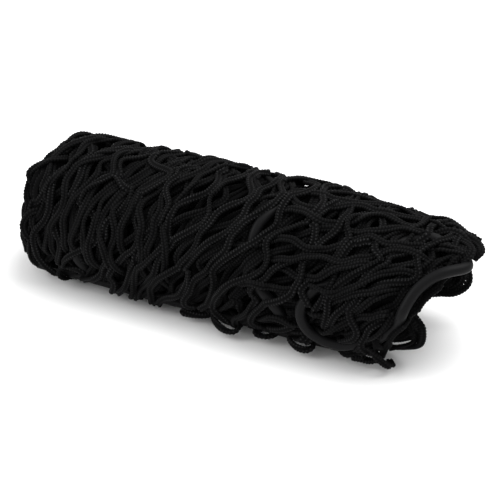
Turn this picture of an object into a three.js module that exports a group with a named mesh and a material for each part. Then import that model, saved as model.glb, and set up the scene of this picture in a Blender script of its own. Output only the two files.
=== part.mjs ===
// A stretch cargo net of knotless knitted cord, rolled up for storage. Millimetres, +Z up.
// The roll lies along X on its flattened underside. Each cord of the mesh is one solid that winds
// round the roll; the last part-turn of the net is a free flap, hinged near the top of the roll.
import * as THREE from "three";

// ---- driving dimensions ----
const MESH_CORDS = 22; // cords side by side across the net
const CORD_WIDTH = 5; // flat knitted cord
const CORD_THICK = 3;
const BORDER_D = 8; // round elastic cord threaded through the edge of the net
const GAP = 0.5; // between neighbours that touch

const NET_LEFT = -151; // edges of the outermost turn, along the roll
const NET_RIGHT = 156;
const CORE_R = 18; // radius of the first turn
const PITCH = 10; // growth of the radius in one turn
const TURNS = 4.2;
const BARS = 39; // bars of mesh from the core edge to the hem
const FLAP_BARS = 5; // bars in the free flap
const FLAP_SPACE = 3; // the flap stands this much clear, over the slack border cord
const HEM_ANGLE = rad(-36); // where the flap ends: 0 is the front, +90 degrees the top

const AXIS_HEIGHT = 46.8; // of the roll's winding axis above the floor
const SAG = 0.9; // flattening of the underside
const TELESCOPE = 28; // the core is pushed this far out of the left end
const MIDDLE = [2.8, -3.4]; // middle of the whole roll, from the winding axis's own zero
const OUTER_R = CORE_R + PITCH * TURNS + FLAP_SPACE;

// ---- the winding ----
const PSI_END = 2 * Math.PI * TURNS;
const NET_LENGTH = arcLength(PSI_END);
const BAR = NET_LENGTH / BARS;
const FLAP_START = NET_LENGTH - FLAP_BARS * BAR;
const PSI_HINGE = windingAt(FLAP_START);
const SPACING = (NET_RIGHT - NET_LEFT) / MESH_CORDS;
const SWING = (SPACING - CORD_WIDTH - GAP) / 2; // of each cord to either side, joint to joint

function rad(degrees) {
  return (degrees * Math.PI) / 180;
}

function smooth(t) {
  const c = Math.min(Math.max(t, 0), 1);
  return c * c * (3 - 2 * c);
}

// Net length from the core edge to the winding angle psi, and back.
function arcLength(psi) {
  return CORE_R * psi + (PITCH * psi * psi) / (4 * Math.PI);
}

function windingAt(length) {
  const root = Math.sqrt(CORE_R * CORE_R + (length * PITCH) / Math.PI);
  return ((root - CORE_R) * 2 * Math.PI) / PITCH;
}

// Radius of the middle of the net at the winding angle psi.
function turnRadius(psi) {
  const lift = smooth((psi - PSI_HINGE + 2.4) / 2.1);
  return CORE_R + (PITCH * psi) / (2 * Math.PI) + FLAP_SPACE * lift;
}

// The roll is not a true cylinder: it tapers to its ends, it is lumpy on top and flat underneath.
function onRoll(x, angle, radius) {
  const upper = (1 + Math.sin(angle)) / 2;
  const taper = 0.1 * smooth((x - 60) / 130) + 0.1 * smooth((-120 - x) / 60);
  const lumps = 0.03 * Math.sin(x / 38 + 0.6) * Math.cos(angle - 0.9);
  const ridges = 0.02 * Math.sin(x / 17 + 2 * angle);
  const flat = Math.min(1, SAG / Math.max(-Math.sin(angle), 0.01));
  const r = radius * flat * (1 + upper * (lumps + ridges - taper));
  const [middleX, middleY] = MIDDLE;
  return new THREE.Vector3(
    x - middleX,
    -r * Math.cos(angle) - middleY,
    AXIS_HEIGHT + r * Math.sin(angle),
  );
}

// The net itself is skewed as it is wound: a point of it is given by its angle round the roll, its
// place across the net and its radius, and it keeps its neighbours.
function skewed(angle, across, radius, ripple) {
  const side = (across - NET_LEFT) / (NET_RIGHT - NET_LEFT);
  const full = 8 + 34 * smooth(side / 0.5) - 5 * smooth((side - 0.55) / 0.45);
  const skew = (full * radius) / OUTER_R;
  const telescope = TELESCOPE * (1 - (radius / OUTER_R) ** 2);
  const inside = 1 - (2 * side - 1) ** 4;
  return onRoll(across + skew * Math.sin(angle) - telescope + ripple * inside, angle, radius);
}

function wound(psi, across, radius) {
  const angle = HEM_ANGLE + PSI_END - psi;
  const ripple = 4 * Math.sin(across / 23 + 0.9 * psi) + 2 * Math.sin(across / 13 - 1.7 * psi + 1);
  return skewed(angle, across, radius, ripple);
}

// ---- materials ----
const knitted = new THREE.MeshStandardMaterial({ color: 0x17171a, roughness: 0.85, metalness: 0 });
const sheathed = new THREE.MeshStandardMaterial({ color: 0x202023, roughness: 0.5, metalness: 0 });

function named(name, geometry, material) {
  const mesh = new THREE.Mesh(geometry, material.clone());
  mesh.name = name;
  return mesh;
}

// ---- mesh cords ----
// Stations along the net: every joint of the mesh, and the middle of each bar where turns are wide.
function stations(from, to) {
  const list = [from];
  for (let bar = Math.round(from / BAR); bar < Math.round(to / BAR); bar += 1) {
    if (turnRadius(windingAt(bar * BAR)) > 38) list.push((bar + 0.5) * BAR);
    list.push((bar + 1) * BAR);
  }
  return list;
}

// Sideways place of cord number i at a length along the net: it meets each neighbour in turn.
function zigzag(i, length) {
  const bar = length / BAR;
  const whole = Math.floor(bar + 1e-9);
  const sign = (whole + i) % 2 === 0 ? 1 : -1;
  const centre = NET_LEFT + (i + 0.5) * SPACING;
  return centre + sign * SWING * (1 - 2 * (bar - whole));
}

function meshCord(i, lengths) {
  const steps = lengths.length - 1;
  const geometry = new THREE.BoxGeometry(CORD_WIDTH, CORD_THICK, 1, 1, 1, steps);
  const position = geometry.attributes.position;
  for (let k = 0; k < position.count; k += 1) {
    const length = lengths[Math.round((position.getZ(k) + 0.5) * steps)];
    const psi = windingAt(length);
    const across = zigzag(i, length) + position.getX(k);
    const p = wound(psi, across, turnRadius(psi) + position.getY(k));
    position.setXYZ(k, p.x, p.y, Math.max(p.z, 0));
  }
  return geometry;
}

// ---- border cord ----
const BESIDE = BORDER_D / 2 + 3.2; // centre of the cord along a side, beyond the net's edge

function roundSection(diameter, sides) {
  const shape = new THREE.Shape();
  for (let k = 0; k < sides; k += 1) {
    const a = (2 * Math.PI * k) / sides;
    const x = (diameter / 2) * Math.cos(a);
    const y = (diameter / 2) * Math.sin(a);
    if (k === 0) shape.moveTo(x, y);
    else shape.lineTo(x, y);
  }
  shape.closePath();
  return shape;
}

function tube(points, diameter, steps, sides = 8) {
  const path = new THREE.CatmullRomCurve3(points, false, "centripetal");
  return new THREE.ExtrudeGeometry(roundSection(diameter, sides), {
    steps,
    bevelEnabled: false,
    extrudePath: path,
  });
}

// The stretch along one side of the net, just outside its last mesh cord and flush with it.
function sideCord(across, fromPsi, toPsi, fromCentre) {
  const points = [];
  const count = Math.max(6, Math.round((arcLength(toPsi) - arcLength(fromPsi)) / 20));
  if (fromCentre) points.push(skewed(HEM_ANGLE + PSI_END, across, 2, 0));
  for (let k = 0; k <= count; k += 1) {
    const psi = fromPsi + ((toPsi - fromPsi) * k) / count;
    const p = wound(psi, across, turnRadius(psi) - (BORDER_D - CORD_THICK) / 2);
    p.z = Math.max(p.z, BORDER_D / 2 + 1.1);
    points.push(p);
  }
  return tube(points, BORDER_D, points.length - 1);
}

// A slack stretch that hangs in the meshes of the flap, on its inner side, with its route by hand:
// places along the roll in millimetres, and angles round it in degrees.
function slackCord(route, steps) {
  const points = route.map(([x, degrees]) => {
    const angle = rad(degrees);
    const under = turnRadius(HEM_ANGLE + PSI_END - angle) - CORD_THICK / 2 - 1 - BORDER_D / 2;
    return onRoll(x, angle, under);
  });
  return tube(points, BORDER_D, steps);
}

const LEFT_BIGHT = [
  [-120, 70],
  [-117, 56],
  [-114, 36],
  [-111, 14],
  [-108, -8],
  [-101, -26],
];
const MIDDLE_BIGHT = [
  [53, 78],
  [46, 63],
  [38, 44],
  [38, 24],
  [48, 8],
  [64, -6],
  [73, -24],
];
const RIGHT_BIGHT = [
  [174, 79],
  [159, 81],
  [145, 75],
  [135, 59],
  [125, 41],
  [112, 25],
  [95, 14],
  [86, -3],
  [94, -20],
  [116, -26],
  [139, -19],
];

// The outer edge of the net: along the end of the flap.
const HEM_TUCK = rad(5.2); // angle from the ends of the mesh cords to the hem
function hemCord(steps) {
  const points = [];
  for (let k = 0; k <= steps; k += 1) {
    const across = NET_LEFT - BESIDE + ((NET_RIGHT - NET_LEFT + 2 * BESIDE) * k) / steps;
    points.push(skewed(HEM_ANGLE - HEM_TUCK, across, OUTER_R - 1, 0));
  }
  return tube(points, BORDER_D, steps);
}

// The inner edge of the net: along the winding axis, between the starts of the side cords.
function coreCord() {
  const ends = [NET_LEFT + 8, NET_RIGHT - 4].map((across) => skewed(0, across, 0, 0));
  return tube(ends, BORDER_D, 6);
}

// A loop of the edge mesh that hangs loose from the hem, down to just above the floor.
function hemLoop(x, width, reach) {
  const top = onRoll(x, HEM_ANGLE - HEM_TUCK, OUTER_R - 1);
  const front = top.y - BORDER_D / 2 - CORD_THICK / 2 - 3.2 * GAP;
  const low = 3;
  const points = [
    new THREE.Vector3(x - width / 2, front + 1, top.z + 3),
    new THREE.Vector3(x - width / 2, front - 1, top.z - 1),
    new THREE.Vector3(x - width / 4, front - reach / 2, low + 1),
    new THREE.Vector3(x, front - reach, low),
    new THREE.Vector3(x + width / 4, front - reach / 2, low + 1),
    new THREE.Vector3(x + width / 2, front - 1, top.z - 1),
    new THREE.Vector3(x + width / 2, front + 1, top.z + 3),
  ];
  return tube(points, 4, 12, 6);
}

const HEM_LOOPS = [
  [-8, 17, 6],
  [17, 21, 9],
  [51, 14, 5],
  [80, 20, 7],
  [131, 16, 5],
];

// ---- assembly ----
const cargoNet = new THREE.Group();
const two = (n) => String(n).padStart(2, "0");

for (let i = 0; i < MESH_CORDS; i += 1) {
  const wrapped = meshCord(i, stations(0, FLAP_START));
  cargoNet.add(named(`mesh_cord_${two(i + 1)}`, wrapped, knitted));
}
cargoNet.add(
  named("border_cord_core", coreCord(), sheathed),
  named("border_cord_left", sideCord(NET_LEFT - BESIDE, 0, PSI_HINGE, true), sheathed),
  named("border_cord_right", sideCord(NET_RIGHT + BESIDE, 0, PSI_HINGE, true), sheathed),
);

const flap = new THREE.Group();
const PSI_FLAP = windingAt(FLAP_START + 5 * GAP); // round cords meet further apart than flat ones
for (let i = 0; i < MESH_CORDS; i += 1) {
  const lengths = stations(FLAP_START, NET_LENGTH);
  lengths[0] += GAP;
  flap.add(named(`flap_cord_${two(i + 1)}`, meshCord(i, lengths), knitted));
}
flap.add(
  named("border_cord_hem", hemCord(20), sheathed),
  named("border_bight_left", slackCord(LEFT_BIGHT, 10), sheathed),
  named("border_bight_middle", slackCord(MIDDLE_BIGHT, 12), sheathed),
  named("border_bight_right", slackCord(RIGHT_BIGHT, 20), sheathed),
  named("flap_border_left", sideCord(NET_LEFT - BESIDE, PSI_FLAP, PSI_END, false), sheathed),
  named("flap_border_right", sideCord(NET_RIGHT + BESIDE, PSI_FLAP, PSI_END, false), sheathed),
);
HEM_LOOPS.forEach(([x, width, reach], k) => {
  flap.add(named(`hem_loop_${k + 1}`, hemLoop(x, width, reach), knitted));
});
cargoNet.add(flap);

export default cargoNet;
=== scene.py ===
import math

import bpy
import numpy as np
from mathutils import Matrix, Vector


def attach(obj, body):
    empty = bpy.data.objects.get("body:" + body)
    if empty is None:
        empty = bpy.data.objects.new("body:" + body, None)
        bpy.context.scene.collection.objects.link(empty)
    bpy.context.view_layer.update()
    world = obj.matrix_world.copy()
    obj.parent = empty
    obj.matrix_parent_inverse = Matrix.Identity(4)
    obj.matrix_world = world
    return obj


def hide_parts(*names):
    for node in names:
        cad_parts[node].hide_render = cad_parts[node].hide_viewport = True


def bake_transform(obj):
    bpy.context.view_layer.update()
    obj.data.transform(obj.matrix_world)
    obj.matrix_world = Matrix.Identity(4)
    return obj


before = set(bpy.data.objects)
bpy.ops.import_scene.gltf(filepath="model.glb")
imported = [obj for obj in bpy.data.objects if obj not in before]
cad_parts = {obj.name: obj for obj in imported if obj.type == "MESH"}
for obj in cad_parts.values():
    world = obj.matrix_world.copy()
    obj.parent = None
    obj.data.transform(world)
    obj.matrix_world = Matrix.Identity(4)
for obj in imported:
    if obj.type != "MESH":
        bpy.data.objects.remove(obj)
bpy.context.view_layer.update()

# ---- camera ----
CAMERA_AZIMUTH = math.radians(28.5)
CAMERA_ELEVATION = math.radians(28)
CAMERA_DISTANCE = 1.25
CAMERA_LENS = 119
CAMERA_TARGET = Vector((0.010, 0.0015, 0.046))


def make_camera():
    data = bpy.data.cameras.new("camera")
    data.lens = CAMERA_LENS
    data.sensor_width = 36
    camera = bpy.data.objects.new("camera", data)
    flat = math.cos(CAMERA_ELEVATION)
    back = Vector(
        (
            math.sin(CAMERA_AZIMUTH) * flat,
            -math.cos(CAMERA_AZIMUTH) * flat,
            math.sin(CAMERA_ELEVATION),
        )
    )
    camera.location = CAMERA_TARGET + back * CAMERA_DISTANCE
    camera.rotation_euler = back.to_track_quat("Z", "Y").to_euler()
    bpy.context.scene.collection.objects.link(camera)
    bpy.context.scene.camera = camera


make_camera()

# ---- the net, as in the CAD source ----
MESH_CORDS = 22
CORD_WIDTH = 5
CORD_THICK = 3
BORDER_D = 8
NET_LEFT = -151
NET_RIGHT = 156
CORE_R = 18
PITCH = 10
TURNS = 4.2
BARS = 39
FLAP_BARS = 5
FLAP_SPACE = 3
HEM_ANGLE = math.radians(-36)
HEM_TUCK = math.radians(5.2)
AXIS_HEIGHT = 46.8
SAG = 0.9
TELESCOPE = 28
MIDDLE = (2.8, -3.4)
OUTER_R = CORE_R + PITCH * TURNS + FLAP_SPACE
BESIDE = BORDER_D / 2 + 3.2
GAP = 0.5


def smooth(t):
    c = np.clip(t, 0, 1)
    return c * c * (3 - 2 * c)


def bell(value, middle, width):
    return np.exp(-(((value - middle) / width) ** 2))


def arc_length(psi):
    return CORE_R * psi + PITCH * psi * psi / (4 * math.pi)


def winding_at(length):
    return (np.sqrt(CORE_R**2 + length * PITCH / math.pi) - CORE_R) * 2 * math.pi / PITCH


PSI_END = 2 * math.pi * TURNS
NET_LENGTH = arc_length(PSI_END)
BAR = NET_LENGTH / BARS
FLAP_START = NET_LENGTH - FLAP_BARS * BAR
PSI_HINGE = float(winding_at(FLAP_START))


def turn_radius(psi):
    lift = smooth((psi - PSI_HINGE + 2.4) / 2.1)
    return CORE_R + PITCH * psi / (2 * math.pi) + FLAP_SPACE * lift


def on_roll(x, angle, radius):
    """A point of the roll, from its place along it, its angle round it and its radius.

    The roll is flat below, and above it tapers to both ends, droops at the right and is lumpy.
    """
    upper = (1 + np.sin(angle)) / 2
    taper = 0.1 * smooth((x - 60) / 130) + 0.1 * smooth((-120 - x) / 60)
    lumps = 0.03 * np.sin(x / 38 + 0.6) * np.cos(angle - 0.9)
    ridges = 0.02 * np.sin(x / 17 + 2 * angle)
    flat = np.minimum(1, SAG / np.maximum(-np.sin(angle), 0.01))
    droop = 0.12 * smooth((x - 140) / 60)
    r = radius * flat * (1 + upper * (lumps + ridges - taper - droop))
    return np.stack(
        [x - MIDDLE[0], -r * np.cos(angle) - MIDDLE[1], AXIS_HEIGHT + r * np.sin(angle)],
        axis=-1,
    )


def skewed_x(angle, across, radius, ripple):
    side = (across - NET_LEFT) / (NET_RIGHT - NET_LEFT)
    full = 8 + 34 * smooth(side / 0.5) - 5 * smooth((side - 0.55) / 0.45)
    skew = full * radius / OUTER_R
    telescope = TELESCOPE * (1 - (radius / OUTER_R) ** 2)
    inside = 1 - (2 * side - 1) ** 4
    return across + skew * np.sin(angle) - telescope + ripple * inside


def net_place(psi, across, offset=0.0):
    """Place along the roll, angle and radius of a point of the net, wound up."""
    angle = HEM_ANGLE + PSI_END - psi
    radius = turn_radius(psi)
    ripple = 4 * np.sin(across / 23 + 0.9 * psi) + 2 * np.sin(across / 13 - 1.7 * psi + 1)
    x = skewed_x(angle, across, radius + offset, ripple)
    return np.stack([x, angle, radius + offset], axis=-1)


# ---- strands: lines of places (x, angle, radius) that are shaped together ----
FLAT_R = 60  # turns angles into distances along the surface
FLAT = np.array([1, FLAT_R, 1])
STEP = 2.6  # between the points of a strand
OUTER_TURN = 2 * math.pi + 0.5  # the strands of this much winding are shaped
ZONE_START = PSI_END - OUTER_TURN


class Strand:
    """A cord's line, and its section: a strand that isn't free pushes the others and stays."""

    def __init__(self, name, places, width, thick, free=None):
        self.name = name
        self.places = np.array(places, float)
        self.width = width
        self.thick = thick
        self.free = np.zeros(len(self.places)) if free is None else free


def waves(count, low, high, seed):
    """A smooth random field of the surface, about -1 to 1: wavelengths in millimetres."""
    chance = np.random.default_rng(seed)
    length = chance.uniform(low, high, count)
    heading = chance.uniform(0, 2 * math.pi, count)
    phase = chance.uniform(0, 2 * math.pi, count)

    def field(x, angle):
        total = 0
        for k in range(count):
            along = x * math.cos(heading[k]) + FLAT_R * angle * math.sin(heading[k])
            total = total + np.sin(2 * math.pi * along / length[k] + phase[k])
        return total / math.sqrt(count) / 1.2

    return field


POCKET_X = -70
POCKET_ANGLE = 1.35
POCKET_LENGTH = 27
POCKET_WIDTH = 21


def pocket(x, angle):
    """A hollow in the top of the roll, where the outer cords part: 1 at its middle."""
    round_the_roll = FLAT_R * (angle - POCKET_ANGLE)
    return bell(x, POCKET_X, POCKET_LENGTH) * bell(round_the_roll, 0, POCKET_WIDTH)


crowd = waves(5, 70, 130, 1)
bulge = waves(6, 40, 80, 2)
JOINT_APART = 4.6  # between the middles of two cords where they are joined
JOINT_LENGTH = 7
CROWDING = 7  # how far the outer cords wander along the roll
PARTING = 9  # how far they part round the hollow
DRIFT = 9  # how far the cords of the deeper plies wander
LEFT_END = -181
PAST_BORDER = 2  # how far the mesh may reach past the line of the right border
SQUEEZED = 60  # the last of a deeper ply at each end, drawn together


class Ply:
    """One layer of the net: its cords, its depth under the outer surface and its own slant."""

    def __init__(self, name, count, left, right, offset, lean, shift, bow, seed):
        chance = np.random.default_rng(seed)
        self.name = name
        self.count = count
        self.left = left
        self.spacing = (right - left) / count
        self.offset = offset
        self.lean = lean
        self.shift = chance.normal(0, 1, (BARS + 4, count + 2, 2))
        self.bow = chance.normal(0, 1, (BARS + 4, count, 2))
        self.shift_size = shift
        self.bow_size = bow
        self.phase = chance.uniform(0, 1) if offset else 0
        self.drift = waves(5, 60, 120, seed + 1)

    def zigzag(self, i, length):
        """Place of cord i across and along the net, and its bow outward, at each length.

        It runs beside each neighbour in turn at the joints.
        """
        bar = length / BAR + self.phase
        nearest = np.round(bar).astype(int)
        whole = np.floor(bar).astype(int)
        beside = JOINT_LENGTH / 2 / BAR
        part = smooth((bar - whole - beside) / (1 - 2 * beside))
        sign = np.where((whole + i) % 2 == 0, 1, -1)
        swing = (self.spacing - JOINT_APART) / 2
        partner = np.where((nearest + i) % 2 == 0, i + 1, i)
        weight = np.cos(np.pi * (bar - nearest)) ** 2
        shared = self.shift[nearest, partner]
        bow = self.bow[whole, i] * np.sin(math.pi * (bar - whole))[:, None] ** 2
        across = self.left + (i + 0.5) * self.spacing + sign * swing * (1 - 2 * part)
        across = across + self.shift_size * shared[:, 0] * weight + self.bow_size * bow[:, 0]
        if self.offset:
            from_left = across - self.left
            from_right = self.left + self.count * self.spacing - across
            across = across - 0.45 * from_left * (1 - smooth(from_left / SQUEEZED))
            across = across + 0.45 * from_right * (1 - smooth(from_right / SQUEEZED))
        along = length + 1.6 * self.shift_size * shared[:, 1] * weight
        return across, along, bow[:, 1]

    def strand(self, i):
        """Cord i, wound up: it wanders in the outer turn, and its ends and edges tuck in."""
        chance = np.random.default_rng(7000 + 100 * self.count + i)
        tail = chance.uniform(4, 13)
        length = np.arange(0, NET_LENGTH + tail, STEP)
        across, along, bow = self.zigzag(i, length)
        psi = winding_at(np.maximum(along, 0))
        places = net_place(psi, across, self.offset)
        x, angle = places[:, 0], places[:, 1]
        zone = smooth((psi - ZONE_START) / 0.5)
        side = (across - NET_LEFT) / (NET_RIGHT - NET_LEFT)
        inside = 1 - np.clip(2 * side - 1, -1, 1) ** 8
        hem = smooth((NET_LENGTH - length) / 14)
        if self.offset == 0:
            part = PARTING * np.tanh((x - POCKET_X) / 8) * pocket(x, angle)
            wander = (CROWDING * crowd(x, angle) + part) * zone
        else:
            wander = DRIFT * self.drift(x, angle)
        slant = self.lean * np.sin(1.3 * angle + 0.4) * smooth((psi - 6) / 8)
        places[:, 0] += (wander * hem + slant) * inside
        depth = 1.4 if self.offset == 0 else -1.0
        places[:, 2] += (1.0 * bow + depth * bulge(x, angle)) * zone * hem * inside
        places[:, 2] -= (4 if self.offset else 0.5) * pocket(x, angle) * zone
        places[:, 2] -= 9 * smooth((length - NET_LENGTH + 7) / 17)
        ends = self.left, self.left + self.count * self.spacing
        edge = np.minimum(across - ends[0], ends[1] - across)
        places[:, 2] -= 8 * smooth((16 - edge) / 18)
        furthest = skewed_x(angle, NET_RIGHT + BESIDE, places[:, 2], 0) + PAST_BORDER
        places[:, 0] = np.clip(places[:, 0], LEFT_END, furthest)
        return Strand(f"{self.name}_{i + 1:02d}", places, CORD_WIDTH, CORD_THICK, zone)


def smooth_line(points, step):
    """Places about a step apart on a smooth line through a few given ones."""
    points = np.array(points, float)
    padded = np.vstack([2 * points[0] - points[1], points, 2 * points[-1] - points[-2]])
    scale = np.ones(points.shape[1])
    scale[1] = FLAT_R
    line = []
    for k in range(len(points) - 1):
        a, b, c, d = padded[k : k + 4]
        count = max(1, int(round(np.linalg.norm(((c - b) * scale)[:3]) / step)))
        t = np.arange(count)[:, None] / count
        line.append(catmull_rom(a, b, c, d, t))
    line.append(points[-1:])
    return np.vstack(line)


def catmull_rom(a, b, c, d, t):
    square = 2 * a - 5 * b + 4 * c - d
    cube = 3 * b - a - 3 * c + d
    return 0.5 * (2 * b + (c - a) * t + square * t**2 + cube * t**3)


# The slack border cord in the flap: places along the roll, angles in degrees, and how far it
# shows: 0 under the mesh, 1 on top of it.
LEFT_BIGHT = [
    (-120, 70, 0),
    (-117, 56, 0.2),
    (-114, 36, 0.3),
    (-111, 14, 0.1),
    (-108, -8, 0.5),
    (-101, -26, 0),
]
MIDDLE_BIGHT = [
    (53, 78, 0),
    (46, 63, 0.5),
    (40, 46, 0.6),
    (40, 26, 0),
    (48, 8, 0.35),
    (64, -6, 0.6),
    (73, -24, 0),
]
RIGHT_BIGHT = [
    (178, 79, 0),
    (163, 81, 0.8),
    (149, 76, 0.2),
    (135, 59, 0),
    (125, 41, 0),
    (112, 25, 0.3),
    (95, 14, 0.45),
    (86, -3, 1),
    (94, -20, 1),
    (116, -26, 0.8),
    (139, -19, -0.4),
]
BIGHT_DEPTH = CORD_THICK / 2 + 1 + BORDER_D / 2
BIGHT_SHOWN = 0.5


def bight_strand(name, route):
    """A slack stretch of the border cord, along a route of places, degrees and how far it shows."""
    places = []
    for x, degrees, shown in route:
        angle = math.radians(degrees)
        radius = float(turn_radius(HEM_ANGLE + PSI_END - angle))
        depth = BIGHT_DEPTH * (1 - shown) - BIGHT_SHOWN * shown
        places.append((x, angle, radius - depth, shown))
    line = smooth_line(places, STEP)
    strand = Strand(name, line[:, :3], BORDER_D, BORDER_D)
    strand.shown = line[:, 3]
    return strand


BORDER_INWARD = 9  # of the side borders, from their place in the CAD
BORDER_SUNK = 6
BORDER_RISE = 9  # of the right border, where it shows


def side_strand(name, across, from_psi, to_psi):
    """The border cord along a side of the net. The mesh laps over it, but for an arc at the right."""
    count = int(round((arc_length(to_psi) - arc_length(from_psi)) / STEP))
    psi = np.linspace(from_psi, to_psi, count + 1)
    places = net_place(psi, np.full_like(psi, across), -(BORDER_D - CORD_THICK) / 2)
    strand = Strand(name, places, BORDER_D, BORDER_D)
    strand.shown = np.zeros(len(psi))
    inward = np.full(len(psi), float(BORDER_INWARD))
    if across > 0:
        degrees = np.degrees(places[:, 1])
        low = smooth((degrees + 4) / 20)
        high = smooth((72 - degrees) / 24)
        strand.shown = low * high
        inward = BORDER_INWARD - 5 * smooth((degrees + 25) / 25)
        inward = inward + 7 * smooth((degrees + 5) / 40) - 13 * bell(degrees, 64, 16)
        arc = smooth((120 - degrees) / 30)
        inward = inward * arc + BORDER_INWARD * smooth((degrees - 90) / 30)
    places[:, 0] -= inward if across > 0 else -inward
    places[:, 2] += BORDER_RISE * strand.shown - BORDER_SUNK
    strand.places = places
    return strand


LENGTHWISE_SLOPE = 190  # millimetres along the roll for each radian round it
LENGTHWISE_LOW = math.radians(-30)
LENGTHWISE_HIGH = math.radians(235)
LENGTHWISE_SHORTEST = 45
HEM_DEPTH = 6  # of the hem under the ends of the mesh, which lap over it


def hem_strand():
    """The border cord along the hem, sunk under the ends of the mesh."""
    across = np.arange(NET_LEFT - BESIDE + 9, NET_RIGHT + BESIDE - 9, STEP)
    angle = HEM_ANGLE - HEM_TUCK
    x = skewed_x(angle, across, OUTER_R - 1, 0)
    full = np.ones_like(x)
    places = np.stack([x, angle * full, (OUTER_R - 1 - HEM_DEPTH) * full], axis=-1)
    return Strand("border_cord_hem", places, BORDER_D, BORDER_D)


def zigzag_run(run, i, spacing, chance):
    """Sideways place, and depth, of cord i of a bunched stretch of mesh, along its run."""
    bar = run / BAR + 100.5
    whole = np.floor(bar).astype(int)
    beside = JOINT_LENGTH / 2 / BAR
    part = smooth((bar - whole - beside) / (1 - 2 * beside))
    sign = np.where((whole + i) % 2 == 0, 1, -1)
    swing = (spacing - JOINT_APART) / 2
    bow = chance.normal(0, 1, (11, 2))[whole % 11] * np.sin(math.pi * (bar - whole))[:, None] ** 2
    return (i + 0.5) * spacing + sign * swing * (1 - 2 * part) + 1.4 * bow[:, 0], bow[:, 1]


def lengthwise_strand(i, count):
    """Towards the right the net is bunched, and part of its mesh lies along the roll."""
    chance = np.random.default_rng(300 + i)
    low = LENGTHWISE_LOW
    high = LENGTHWISE_HIGH
    middle = low + (i + 0.5) * (high - low) / count
    end = 160 + 34 * math.sin(middle) - 9 * chance.random()
    lowest = 150 + LENGTHWISE_SLOPE * (math.radians(-33) - middle)
    start = min(max(5 + 60 * chance.random(), lowest), end - LENGTHWISE_SHORTEST)
    x = np.arange(start, end, STEP)
    across, bow = zigzag_run(x, i, (high - low) * FLAT_R / count, chance)
    angle = low + across / FLAT_R + (x - 150) / LENGTHWISE_SLOPE
    angle = angle + 0.1 * crowd(x + 30, angle)
    radius = turn_radius(HEM_ANGLE + PSI_END - angle)
    place = 0.6 + 0.9 * bow + 2.2 * bulge(x + 40, angle)
    sink = 9 * (1 - smooth((x - start) / 30)) + 6 * smooth((x - end + 26) / 22)
    places = np.stack([x, angle, radius + place - sink], axis=-1)
    name = f"lengthwise_cord_{i + 1:02d}"
    return Strand(name, places, CORD_WIDTH, CORD_THICK, np.ones(len(x)))


# Short loose cords, at the ends and under the outer cords of the back: places along the roll,
# angles in degrees, and depths under the surface.
STRAYS = [
    [(-138, 68, 6), (-148, 60, 1), (-157, 53, 1), (-162, 46, 3), (-158, 40, 6), (-148, 36, 9)],
    [(-143, 20, 7), (-151, 14, 2), (-156, 4, 2), (-152, -6, 4), (-143, -12, 8)],
    [(168, 106, 8), (181, 102, 3), (191, 96, 2), (196, 86, 3), (191, 76, 8)],
    [(164, 98, 9), (176, 94, 3), (187, 86, 2), (190, 77, 3), (186, 68, 8)],
    [(132, -22, 6), (142, -28, 1), (149, -35, 0), (151, -41, 3), (146, -46, 8)],
    [(14, 121, 7), (28, 119, 2.8), (44, 116, 2.4), (60, 114, 2.8), (76, 112, 7)],
    [(-142, 121, 8), (-130, 118, 3.5), (-116, 117, 3.2), (-102, 115, 3.5), (-90, 113, 8)],
]

# Two bunches of loops in the open end, at its back and low in its front, given in the same way.
BACK_LOOP = [(148, 168, 6), (162, 176, 2), (168, 187, 0), (168, 198, 0), (160, 207, 2), (146, 212, 6)]
BACK_LOOPS = 7
LOW_LOOP = [(134, 22, 18), (151, 12, 22), (164, -7, 25), (167, -31, 26), (160, -52, 24), (142, -64, 18)]
LOW_LOOPS = 8
LOOP_STEP = 3.4  # from each loop to the next inside it


def nested(route, count):
    """Loops one inside the other, along a route."""
    middle = sum(degrees for _, degrees, _ in route) / len(route)
    loops = []
    for k in range(count):
        loop = []
        for x, degrees, depth in route:
            wobble = math.sin(2.1 * k + degrees / 9)
            turned = middle + (1 - 0.12 * k) * (degrees - middle) + 2 * wobble
            inner_x = x - LOOP_STEP * k + 1.2 * wobble
            loop.append((inner_x, turned, depth + 0.8 * k - 1.5 * wobble))
        loops.append(loop)
    return loops


def stray_strand(number, route):
    """A loose cord along a route of places, degrees and depths."""
    places = []
    for x, degrees, depth in route:
        angle = math.radians(degrees)
        radius = float(turn_radius(HEM_ANGLE + PSI_END - angle))
        places.append((x, angle, radius - depth))
    line = smooth_line(places, STEP)
    name = f"loose_end_{number + 1}"
    return Strand(name, line, CORD_WIDTH, CORD_THICK, np.ones(len(line)))


BUNCH_X = -160
BUNCH_SPACING = 9.6


def bunch_strand(i):
    """Towards the left the net is packed: more of it lies over its outer turn."""
    chance = np.random.default_rng(600 + i)
    low = math.radians(-30 + 6 * chance.random())
    high = math.radians(120 + 60 * chance.random())
    angle = np.arange(low, high, STEP / FLAT_R)
    run = (angle - low) * FLAT_R
    across, bow = zigzag_run(run + 7 * (i // 3), i, BUNCH_SPACING, chance)
    x = BUNCH_X + across + 5 * crowd(across + BUNCH_X, angle + 1)
    x = x + 26 * (smooth((angle - 0.6) / 1.5) + 0.35 * smooth((0.2 - angle) / 0.8))
    radius = turn_radius(HEM_ANGLE + PSI_END - angle)
    place = 0.4 + 0.9 * bow + 2.2 * bulge(x + 90, angle + 2)
    end = (high - low) * FLAT_R
    sink = 9 * (1 - smooth(run / 24)) + 9 * smooth((run - end + 30) / 26)
    sink = sink + 9 * smooth((-136 - x) / 22) + 7 * pocket(x, angle)
    places = np.stack([x, angle, radius + place - sink], axis=-1)[::-1]
    name = f"bunched_cord_{i + 1:02d}"
    return Strand(name, places, CORD_WIDTH, CORD_THICK, np.ones(len(x)))


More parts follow.
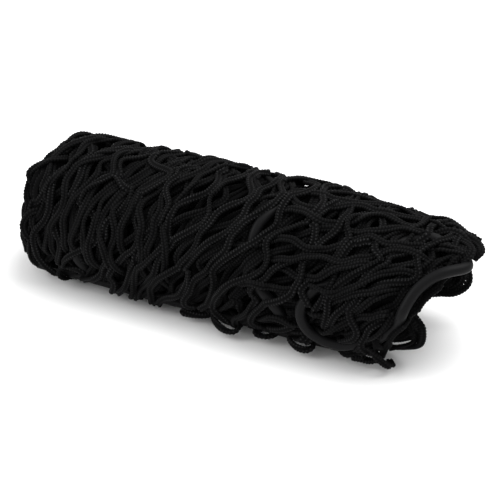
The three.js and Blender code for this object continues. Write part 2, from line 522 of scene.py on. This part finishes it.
# ---- contact: strands push each other apart, and stay smooth ----
CONTACT_WIDE = 0.92  # of a cord's width: the part that counts as touching
CONTACT_THICK = 0.97
REACH = 8.0
ROUNDS = 36
ROUNDS_PER_SEARCH = 6


def near_pairs(flat, strand_of):
    """Numbers of the points of different strands that are within reach of each other."""
    cell = np.floor(flat[:, :2] / REACH).astype(int)
    cell -= cell.min(axis=0) - 1
    row = cell[:, 1].max() + 3
    key = cell[:, 0] * row + cell[:, 1]
    order = np.argsort(key, kind="stable")
    ordered = key[order]
    pairs = []
    for step_x, step_y in ((0, 0), (1, 0), (0, 1), (1, 1), (1, -1)):
        wanted = key + step_x * row + step_y
        low = np.searchsorted(ordered, wanted, "left")
        many = np.searchsorted(ordered, wanted, "right") - low
        a = np.repeat(np.arange(len(key)), many)
        first = np.repeat(low - np.cumsum(many) + many, many)
        b = order[first + np.arange(len(a))]
        keep = a < b if step_x == step_y == 0 else np.ones(len(a), bool)
        pairs.append(np.stack([a[keep], b[keep]]))
    a, b = np.concatenate(pairs, axis=1)
    apart = strand_of[a] != strand_of[b]
    a, b = a[apart], b[apart]
    near = np.abs(flat[a] - flat[b]).max(axis=1) < REACH
    return a[near], b[near]


def shape_together(strands):
    """Strands that overlap push each other apart, round by round, and each stays smooth."""
    flat = np.concatenate([s.places for s in strands]) * FLAT
    strand_of = np.concatenate([np.full(len(s.places), k) for k, s in enumerate(strands)])
    free = np.concatenate([s.free for s in strands])[:, None]
    wide = np.concatenate([np.full(len(s.places), s.width) for s in strands]) * CONTACT_WIDE
    thick = np.concatenate([np.full(len(s.places), s.thick) for s in strands]) * CONTACT_THICK
    active = free[:, 0] > 0
    before = np.zeros(len(flat), bool)
    before[1:] = strand_of[1:] == strand_of[:-1]
    after = np.zeros(len(flat), bool)
    after[:-1] = before[1:]
    rest = flat.copy()
    for turn in range(ROUNDS):
        if turn % ROUNDS_PER_SEARCH == 0:
            a, b = near_pairs(flat, strand_of)
            useful = active[a] | active[b]
            a, b = a[useful], b[useful]
            w = (wide[a] + wide[b]) / 2
            t = (thick[a] + thick[b]) / 2
            size = np.stack([w, w, t], axis=1)
        gap = (flat[a] - flat[b]) / size
        distance = np.linalg.norm(gap, axis=1)
        touch = distance < 1
        push = (1 - distance[touch]) / np.maximum(distance[touch], 0.05)
        push = push[:, None] * gap[touch] * size[touch] * 0.5
        share_a = free[a[touch]] / np.maximum(free[a[touch]] + free[b[touch]], 1e-6)
        move = np.zeros_like(flat)
        np.add.at(move, a[touch], push * share_a * 2)
        np.add.at(move, b[touch], -push * (1 - share_a) * 2)
        hits = np.zeros(len(flat))
        np.add.at(hits, a[touch], 1)
        np.add.at(hits, b[touch], 1)
        flat = flat + 0.8 * move * free / np.maximum(hits, 1)[:, None] ** 0.5
        shift = (flat - rest) * 0.985
        pull = np.zeros_like(shift)
        pull[1:][before[1:]] += (shift[:-1] - shift[1:])[before[1:]]
        pull[:-1][after[:-1]] += (shift[1:] - shift[:-1])[after[:-1]]
        flat = rest + shift + 0.24 * pull * free
    places = flat / FLAT
    first = 0
    for s in strands:
        s.places = places[first : first + len(s.places)]
        first += len(s.places)


UNDER_BIGHT = 6.0  # from the middle of a border cord down to that of the mesh cord under it


def sink_under_bights(strands, bights, threshold):
    """Where a border cord shows by more than the threshold, the mesh dips under it."""
    for bight in bights:
        line = bight.places[:, :2] * FLAT[:2]
        for s in strands:
            here = s.places[:, :2] * FLAT[:2]
            away = np.linalg.norm(here[:, None, :] - line[None, :, :], axis=2)
            nearest = away.argmin(axis=1)
            shown = bight.shown[nearest]
            close = 1 - smooth((away.min(axis=1) - 4.5) / 9)
            under = bight.places[nearest, 2] - UNDER_BIGHT
            target = np.minimum(s.places[:, 2], under)
            amount = close * smooth((shown - threshold) / 0.2)
            s.places[:, 2] += (target - s.places[:, 2]) * amount


# ---- sweeps ----
STITCH = 2.3  # length of one stitch
STITCH_HEIGHT = 0.75
RINGS_PER_STITCH = 5
HIDDEN_STEP = 3.5  # between the rings of a cord where it is hidden in the roll
LOBE_OUT = 1.3  # of each column of stitches, from the middle of the cord
LOBE_R = 1.38
COLUMN = 0.72  # cosine of the angle at which the stitches stand highest
SIDES = 12
LOWEST_MESH = 1.75  # of the middle of a mesh cord, over the floor


def fine_line(places, wanted):
    """Places at the wanted distances along a smooth line through the given ones."""
    run = np.linalg.norm(np.diff(places * FLAT, axis=0), axis=1)
    total = np.concatenate([[0], np.cumsum(run)])
    k = np.clip(np.searchsorted(total, wanted, "right") - 1, 0, len(run) - 1)
    t = ((wanted - total[k]) / np.maximum(run[k], 1e-9))[:, None]
    last = len(places) - 1
    b = places[k]
    c = places[k + 1]
    a = np.where((k == 0)[:, None], 2 * b - c, places[np.maximum(k - 1, 0)])
    d = np.where((k + 1 == last)[:, None], 2 * c - b, places[np.minimum(k + 2, last)])
    return catmull_rom(a, b, c, d, t)


def evenly(places, step, from_place=0):
    """Distances a step apart along the places, from one of them to the end."""
    run = np.linalg.norm(np.diff(places * FLAT, axis=0), axis=1)
    start = run[:from_place].sum()
    count = max(1, int(round((run.sum() - start) / step)))
    return np.linspace(start, run.sum(), count + 1)


def unit(v):
    return v / np.maximum(np.linalg.norm(v, axis=-1, keepdims=True), 1e-9)


def outward(places):
    """The direction away from the roll at each place."""
    more = places + np.array([0, 0, 1.0])
    return unit(on_roll(*more.T) - on_roll(*places.T))


def swept_mesh(name, line, normal, ring_points, attribute=None):
    """A closed tube: ring_points gives each ring's sideways and outward offsets.

    What would reach under the floor is flattened on it. A painted shade, if given, is stored as the depth
    attribute.
    """
    along = unit(np.gradient(line, axis=0))
    side = unit(np.cross(along, normal))
    up = np.cross(side, along)
    sideways, outwards = ring_points
    ring = line[:, None] + side[:, None] * sideways[..., None] + up[:, None] * outwards[..., None]
    rings, sides = sideways.shape
    vertices = ring.reshape(-1, 3)
    low = np.arange(rings - 1)[:, None] * sides
    j = np.arange(sides)[None, :]
    nxt = (j + 1) % sides
    quads = np.stack([low + j, low + nxt, low + sides + nxt, low + sides + j], axis=-1)
    quads = quads.reshape(-1, 4)
    extra = np.stack([line[0], line[-1]])
    vertices = np.vstack([vertices, extra]) * 0.001
    vertices[:, 2] = np.maximum(vertices[:, 2], 0)
    j = np.arange(sides)
    nxt = (j + 1) % sides
    first = np.full(sides, rings * sides)
    top = (rings - 1) * sides
    start = np.stack([first, nxt, j], axis=-1)
    end = np.stack([first + 1, top + j, top + nxt], axis=-1)
    mesh = bpy.data.meshes.new(name)
    mesh.vertices.add(len(vertices))
    mesh.vertices.foreach_set("co", vertices.astype(np.float32).ravel())
    corners = np.concatenate([quads.ravel(), start.ravel(), end.ravel()])
    sizes = np.concatenate([np.full(len(quads), 4), np.full(2 * sides, 3)])
    mesh.loops.add(len(corners))
    mesh.loops.foreach_set("vertex_index", corners.astype(np.int32))
    mesh.polygons.add(len(sizes))
    starts = np.concatenate([[0], np.cumsum(sizes)[:-1]])
    mesh.polygons.foreach_set("loop_start", starts.astype(np.int32))
    mesh.polygons.foreach_set("use_smooth", np.ones(len(sizes), bool))
    mesh.update(calc_edges=True)
    # The depth attribute holds painted shade for the colour: painted highlights on stitch crests, painted
    # shade in the grooves, on the edges and deeper in the roll.
    if attribute is not None:
        layer = mesh.attributes.new("depth", "FLOAT", "POINT")
        values = np.concatenate([attribute.ravel(), [0, 0]]).astype(np.float32)
        layer.data.foreach_set("value", values)
    piece = bpy.data.objects.new(name, mesh)
    bpy.context.scene.collection.objects.link(piece)
    return piece


def knitted_ring(run, sides, twist):
    """Offsets of a flat knitted cord: two columns of slanting stitches with a groove between."""
    theta = 2 * math.pi * (np.arange(sides) + 0.5) / sides
    across = np.cos(theta)
    radial = LOBE_OUT * np.abs(across) + np.sqrt(LOBE_R**2 - (LOBE_OUT * np.sin(theta)) ** 2)
    phase = run[:, None] / STITCH + 0.55 * np.abs(across) + np.where(across > 0, 0.5, 0.0)
    bead = (0.5 + 0.5 * np.cos(2 * math.pi * phase)) ** 0.9
    column = bell(np.abs(across), COLUMN, 0.3)
    out = radial + STITCH_HEIGHT * (bead - 0.45) * (0.3 + 0.7 * column)
    flat_x = out * np.cos(theta)
    flat_y = out * np.sin(theta)
    turn = twist[:, None]
    sideways = flat_x * np.cos(turn) - flat_y * np.sin(turn)
    outwards = flat_x * np.sin(turn) + flat_y * np.cos(turn)
    # Painted shade for the colour: 0 where a stitch's crest gets a painted highlight, up to 1 between the
    # stitches, in the groove between the two columns and partly along the cord's edges.
    depth = 1 - bead * column
    return (sideways, outwards), depth


def knitted_cord(name, places, seed, sides=SIDES, rings=RINGS_PER_STITCH, coarse_to=0):
    """A knitted cord along the places. Up to the place number coarse_to it is hidden in the roll."""
    wanted = evenly(places, STITCH / rings, coarse_to)
    if coarse_to:
        hidden = np.arange(0, wanted[0] - 0.8 * HIDDEN_STEP, HIDDEN_STEP)
        wanted = np.concatenate([hidden, wanted])
    dense = fine_line(places, wanted)
    line = on_roll(*dense.T)
    line[:, 2] = np.maximum(line[:, 2], LOWEST_MESH)
    run = np.concatenate([[0], np.cumsum(np.linalg.norm(np.diff(line, axis=0), axis=1))])
    chance = np.random.default_rng(1000 + seed)
    knots = np.arange(0, run[-1] + 40, 15)
    twist = np.interp(run, knots, chance.normal(0, 0.55, len(knots)))
    ring, depth = knitted_ring(run, sides, twist)
    # Painted shade: cords lying deeper under the roll's surface are coloured darker, standing in for the
    # shade inside the roll.
    surface = turn_radius(HEM_ANGLE + PSI_END - dense[:, 1])
    buried_shade = smooth((surface - dense[:, 2] - 1) / 7)
    return swept_mesh(name, line, outward(dense), ring, depth + 0.35 * buried_shade[:, None])


def round_ring(count, radius, sides=20):
    """Offsets of a plain round cord, for a number of rings."""
    theta = 2 * math.pi * np.arange(sides) / sides
    full = np.ones((count, 1))
    return radius * full * np.cos(theta), radius * full * np.sin(theta)


def border_cord(name, places):
    """A smooth round border cord along the places."""
    dense = fine_line(places, evenly(places, 1.0))
    line = on_roll(*dense.T)
    line[:, 2] = np.maximum(line[:, 2], BORDER_D / 2 + 0.2)
    ring = round_ring(len(line), BORDER_D / 2)
    return swept_mesh(name, line, outward(dense), ring)


# ---- materials ----
def new_material(name):
    material = bpy.data.materials.new(name)
    material.use_nodes = True
    return material, material.node_tree.nodes, material.node_tree.links


def knitted_material():
    """Black knitted polyester, with painted highlights on the crests of the stitches and painted shade
    between them, in the grooves and where the cord lies deep in the roll.
    """
    material, nodes, links = new_material("knitted_cord")
    shader = nodes["Principled BSDF"]
    shader.inputs["Specular IOR Level"].default_value = 0.09
    shader.inputs["Sheen Weight"].default_value = 0.01
    shader.inputs["Sheen Roughness"].default_value = 0.4
    where = nodes.new("ShaderNodeTexCoord")
    fibre = nodes.new("ShaderNodeTexNoise")
    fibre.inputs["Scale"].default_value = 2600
    fibre.inputs["Detail"].default_value = 4
    links.new(where.outputs["Object"], fibre.inputs["Vector"])
    patch = nodes.new("ShaderNodeTexNoise")
    patch.inputs["Scale"].default_value = 60
    links.new(where.outputs["Object"], patch.inputs["Vector"])
    # The depth attribute is painted shade: 0 on the crests of the stitches, 1 in the grooves, along the
    # cord's edges and where the cord lies buried in the roll.
    depth = nodes.new("ShaderNodeAttribute")
    depth.attribute_name = "depth"
    mix = nodes.new("ShaderNodeMath")
    mix.operation = "MULTIPLY_ADD"
    mix.inputs[1].default_value = 0.5
    links.new(patch.outputs["Fac"], mix.inputs[0])
    links.new(depth.outputs["Fac"], mix.inputs[2])
    # Painted highlight on the stitch crests (0.034) and painted shade between them (down to 0.0005),
    # mixed with a random tone from the patch noise.
    ramp = nodes.new("ShaderNodeValToRGB")
    stops = ramp.color_ramp.elements
    stops[0].position = 0.2
    stops[0].color = (0.034, 0.034, 0.0355, 1)
    stops[1].position = 1.0
    stops[1].color = (0.0005, 0.0005, 0.0006, 1)
    middle = stops.new(0.55)
    middle.color = (0.0036, 0.0036, 0.0038, 1)
    links.new(mix.outputs[0], ramp.inputs["Fac"])
    links.new(ramp.outputs["Color"], shader.inputs["Base Color"])
    rough = nodes.new("ShaderNodeMapRange")
    rough.inputs["To Min"].default_value = 0.5
    rough.inputs["To Max"].default_value = 0.95
    links.new(depth.outputs["Fac"], rough.inputs["Value"])
    links.new(rough.outputs["Result"], shader.inputs["Roughness"])
    bump = nodes.new("ShaderNodeBump")
    bump.inputs["Strength"].default_value = 0.5
    bump.inputs["Distance"].default_value = 0.0002
    links.new(fibre.outputs["Fac"], bump.inputs["Height"])
    links.new(bump.outputs["Normal"], shader.inputs["Normal"])
    return material


def sheath_material():
    """The border cord's tightly woven black sheath, smoother than the mesh."""
    material, nodes, links = new_material("border_cord")
    shader = nodes["Principled BSDF"]
    shader.inputs["Roughness"].default_value = 0.48
    shader.inputs["Specular IOR Level"].default_value = 0.08
    where = nodes.new("ShaderNodeTexCoord")
    weave = nodes.new("ShaderNodeTexNoise")
    weave.inputs["Scale"].default_value = 1500
    links.new(where.outputs["Object"], weave.inputs["Vector"])
    ramp = nodes.new("ShaderNodeValToRGB")
    ramp.color_ramp.elements[0].color = (0.002, 0.002, 0.0022, 1)
    ramp.color_ramp.elements[1].color = (0.006, 0.006, 0.0064, 1)
    links.new(weave.outputs["Fac"], ramp.inputs["Fac"])
    links.new(ramp.outputs["Color"], shader.inputs["Base Color"])
    bump = nodes.new("ShaderNodeBump")
    bump.inputs["Strength"].default_value = 0.3
    bump.inputs["Distance"].default_value = 0.0001
    links.new(weave.outputs["Fac"], bump.inputs["Height"])
    links.new(bump.outputs["Normal"], shader.inputs["Normal"])
    return material


KNITTED = knitted_material()
SHEATH = sheath_material()


def dress(piece, material, body, node=None):
    """A piece's material, its body and the CAD node that it replaces. A flap piece gets its transform
    baked into its mesh and is not attached to a body.
    """
    piece.data.materials.append(material)
    if body == "flap":
        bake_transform(piece)
    else:
        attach(piece, body)
    if node:
        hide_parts(node)
    return piece


HINGE_ANGLE = HEM_ANGLE + PSI_END - PSI_HINGE

# Each ply: its cords, their reach from left to right, its height, slant, and how uneven it is.
PLIES = [
    Ply("cord", MESH_CORDS, NET_LEFT, NET_RIGHT, 0, 0, 2.8, 2.2, 20),
    Ply("second_ply", 31, NET_LEFT - 7, NET_RIGHT + 17, -3.6, 16, 3, 2.2, 30),
    Ply("third_ply", 30, NET_LEFT - 5, NET_RIGHT + 15, -6.9, -20, 3, 2.2, 40),
    Ply("fourth_ply", 38, NET_LEFT - 5, NET_RIGHT + 13, -10.0, 14, 2.4, 1.6, 50),
]
LENGTHWISE = 26
BUNCH = 14
outer_cords, second_ply, third_ply, fourth_ply = [
    [ply.strand(i) for i in range(ply.count)] for ply in PLIES
]
lengthwise = [lengthwise_strand(i, LENGTHWISE) for i in range(LENGTHWISE)]
bunch = [bunch_strand(i) for i in range(BUNCH)]
loops_in_end = nested(BACK_LOOP, BACK_LOOPS) + nested(LOW_LOOP, LOW_LOOPS)
strays = [stray_strand(number, route) for number, route in enumerate(STRAYS + loops_in_end)]
sides_of_zone = [
    side_strand("left", NET_LEFT - BESIDE, ZONE_START, PSI_END),
    side_strand("right", NET_RIGHT + BESIDE, ZONE_START, PSI_END),
]
bights = [
    bight_strand("border_bight_left", LEFT_BIGHT),
    bight_strand("border_bight_middle", MIDDLE_BIGHT),
    bight_strand("border_bight_right", RIGHT_BIGHT),
]
hem = hem_strand()


def in_zone(strand):
    """Number of the first place of a strand that is shaped."""
    return int((strand.free == 0).argmin())


def settle(strand, low, high):
    """Along the top and the back, cords lie between two heights over the surface."""
    x, angle, radius = strand.places.T
    surface = turn_radius(HEM_ANGLE + PSI_END - angle)
    here = smooth((angle - 1.15) / 0.4) * smooth((3.2 - angle) / 0.6)
    here = here * smooth((130 - x) / 30) * smooth((x + 140) / 30)
    wanted = np.clip(radius, surface + low, surface + high)
    strand.places[:, 2] += 0.85 * here * (wanted - radius)


def shape_outer_turn():
    """All that lies in the outer turn is shaped together, and then settled along the back."""
    whole = outer_cords + second_ply + third_ply + fourth_ply
    firsts = [in_zone(s) for s in whole]
    parts = [
        Strand(s.name, s.places[k:], s.width, s.thick, s.free[k:]) for s, k in zip(whole, firsts)
    ]
    under = parts[MESH_CORDS:] + lengthwise + bunch
    shown = bights + sides_of_zone[1:]
    sink_under_bights(parts[:MESH_CORDS], shown, 0.72)
    sink_under_bights(under, shown, 0.42)
    shape_together(parts + lengthwise + bunch + strays + bights + sides_of_zone + [hem])
    for s, k, part in zip(whole, firsts, parts):
        s.places[k:] = part.places
    for s in outer_cords + lengthwise + bunch:
        settle(s, -OUTER_R, 0.3)
    for s in second_ply:
        settle(s, -3.0, -2.6)
    for s in third_ply:
        settle(s, -5.8, -5.2)


shape_outer_turn()


def cut_at_hinge(strand):
    """Number of the place where the flap begins."""
    return int((strand.places[:, 1] > HINGE_ANGLE).sum())


def make_ply(strands, sides, rings, seed, replaced=False, outer_turn_only=False):
    """The roll's and the flap's piece of each cord of a ply. They meet at the hinge."""
    for i, strand in enumerate(strands):
        cut = cut_at_hinge(strand)
        number = strand.name.split("_")[-1]
        roll_name = f"mesh_cord_{number}" if replaced else None
        flap_name = f"flap_cord_{number}" if replaced else None
        hidden = in_zone(strand)
        first = hidden if outer_turn_only else 0
        part = strand.places[first : cut + 1]
        name = f"{strand.name}_roll"
        piece = knitted_cord(name, part, seed + i, sides, rings, hidden - first)
        dress(piece, KNITTED, "roll", roll_name)
        part = strand.places[cut:]
        piece = knitted_cord(f"{strand.name}_flap", part, seed + 50 + i, sides, rings)
        dress(piece, KNITTED, "flap", flap_name)


# The deeper a ply lies, the coarser its cords are.
make_ply(outer_cords, sides=12, rings=5, seed=100, replaced=True)
make_ply(second_ply, sides=10, rings=4, seed=200)
make_ply(third_ply, sides=8, rings=3, seed=300)
make_ply(fourth_ply, sides=8, rings=3, seed=400, outer_turn_only=True)

for i, strand in enumerate(lengthwise + bunch + strays):
    piece = knitted_cord(strand.name, strand.places, 500 + i, sides=10, rings=4)
    body = "flap" if strand.places[:, 1].min() < HINGE_ANGLE else "roll"
    dress(piece, KNITTED, body)

for strand in bights:
    piece = border_cord(f"{strand.name}_visual", strand.places)
    dress(piece, SHEATH, "flap", strand.name)

for side, across in (("left", NET_LEFT - BESIDE), ("right", NET_RIGHT + BESIDE)):
    wound = side_strand(side, across, 0.0, PSI_HINGE)
    piece = border_cord(f"border_cord_{side}_visual", wound.places)
    dress(piece, SHEATH, "roll", f"border_cord_{side}")
    loose = side_strand(side, across, PSI_HINGE, PSI_END)
    piece = border_cord(f"flap_border_{side}_visual", loose.places)
    dress(piece, SHEATH, "flap", f"flap_border_{side}")

# Each hem loop's place along the roll, its width, and how far it reaches out.
HEM_LOOPS = [(-8, 17, 1), (17, 21, 4), (51, 14, 0), (80, 18, 1), (131, 13, -2)]
HEM_LOOP_BOTTOM = 4.5


def hem_loop(number, x, width, reach):
    """A loop of the edge mesh that hangs loose from the hem, down to just above the floor."""
    top = on_roll(x, HEM_ANGLE - HEM_TUCK, OUTER_R - 1)
    front = top[1] - BORDER_D / 2 - CORD_THICK / 2 - 3.2 * GAP
    chance = np.random.default_rng(800 + number)
    lean = chance.uniform(-0.4, 0.4)
    turn = np.linspace(-0.9, math.pi + 0.9, 130)
    hang = np.sin(turn)
    line = np.stack(
        [
            x - MIDDLE[0] + width / 2 * np.cos(turn) + lean * width * hang,
            front + 6 - (4 + reach) * hang + 2 * np.cos(turn + 3 * lean),
            top[2] + 3 - (top[2] - HEM_LOOP_BOTTOM) * hang + 1.5 * lean * np.cos(2 * turn),
        ],
        axis=-1,
    )
    run = np.concatenate([[0], np.cumsum(np.linalg.norm(np.diff(line, axis=0), axis=1))])
    # depth here is the painted shade of the stitches: painted highlights on their crests, painted shade
    # between them.
    ring, depth = knitted_ring(run, SIDES, 0.9 * np.sin(run / 9 + number))
    facing = np.tile([0, -0.8, 0.6], (len(line), 1))
    piece = swept_mesh(f"hem_loop_{number}_visual", line, facing, ring, depth)
    dress(piece, KNITTED, "flap", f"hem_loop_{number}")


for number, (x, width, reach) in enumerate(HEM_LOOPS, 1):
    hem_loop(number, x, width, reach)

piece = border_cord("border_cord_hem_visual", hem.places)
dress(piece, SHEATH, "flap", "border_cord_hem")


def dress_cad_nodes():
    """The CAD's own solids wear the materials of the pieces that replace them."""
    for name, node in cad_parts.items():
        material = SHEATH if "border" in name else KNITTED
        node.data.materials.clear()
        node.data.materials.append(material)


dress_cad_nodes()


# ---- floor and light ----
FLOOR_HALF = 6  # metres


def make_floor():
    mesh = bpy.data.meshes.new("floor")
    half = FLOOR_HALF
    corners = [(-half, -half, 0), (half, -half, 0), (half, half, 0), (-half, half, 0)]
    mesh.from_pydata(corners, [], [(0, 1, 2, 3)])
    floor = bpy.data.objects.new("floor", mesh)
    bpy.context.scene.collection.objects.link(floor)
    material, nodes, _ = new_material("floor")
    shader = nodes["Principled BSDF"]
    shader.inputs["Base Color"].default_value = (0.9, 0.9, 0.9, 1)
    shader.inputs["Roughness"].default_value = 1
    shader.inputs["Specular IOR Level"].default_value = 0
    mesh.materials.append(material)


LIT_POINT = Vector((0, 0, 0.05))


def make_light(name, place, size, power):
    """A soft square light, aimed at the roll: place and size in metres, power in watts."""
    data = bpy.data.lights.new(name, "AREA")
    data.size = size
    data.energy = power
    light = bpy.data.objects.new(name, data)
    light.location = place
    aim = LIT_POINT - Vector(place)
    light.rotation_euler = aim.to_track_quat("-Z", "Y").to_euler()
    bpy.context.scene.collection.objects.link(light)


def make_world():
    world = bpy.data.worlds.new("world")
    world.use_nodes = True
    world.node_tree.nodes["Background"].inputs["Color"].default_value = (1, 1, 1, 1)
    world.node_tree.nodes["Background"].inputs["Strength"].default_value = 0.95
    bpy.context.scene.world = world
    bpy.context.scene.view_settings.view_transform = "Standard"


make_floor()
make_world()
make_light("key", (0.6, 0.35, 1.7), 1.5, 30)
make_light("side", (-1.3, -1.0, 1.1), 1.2, 15)
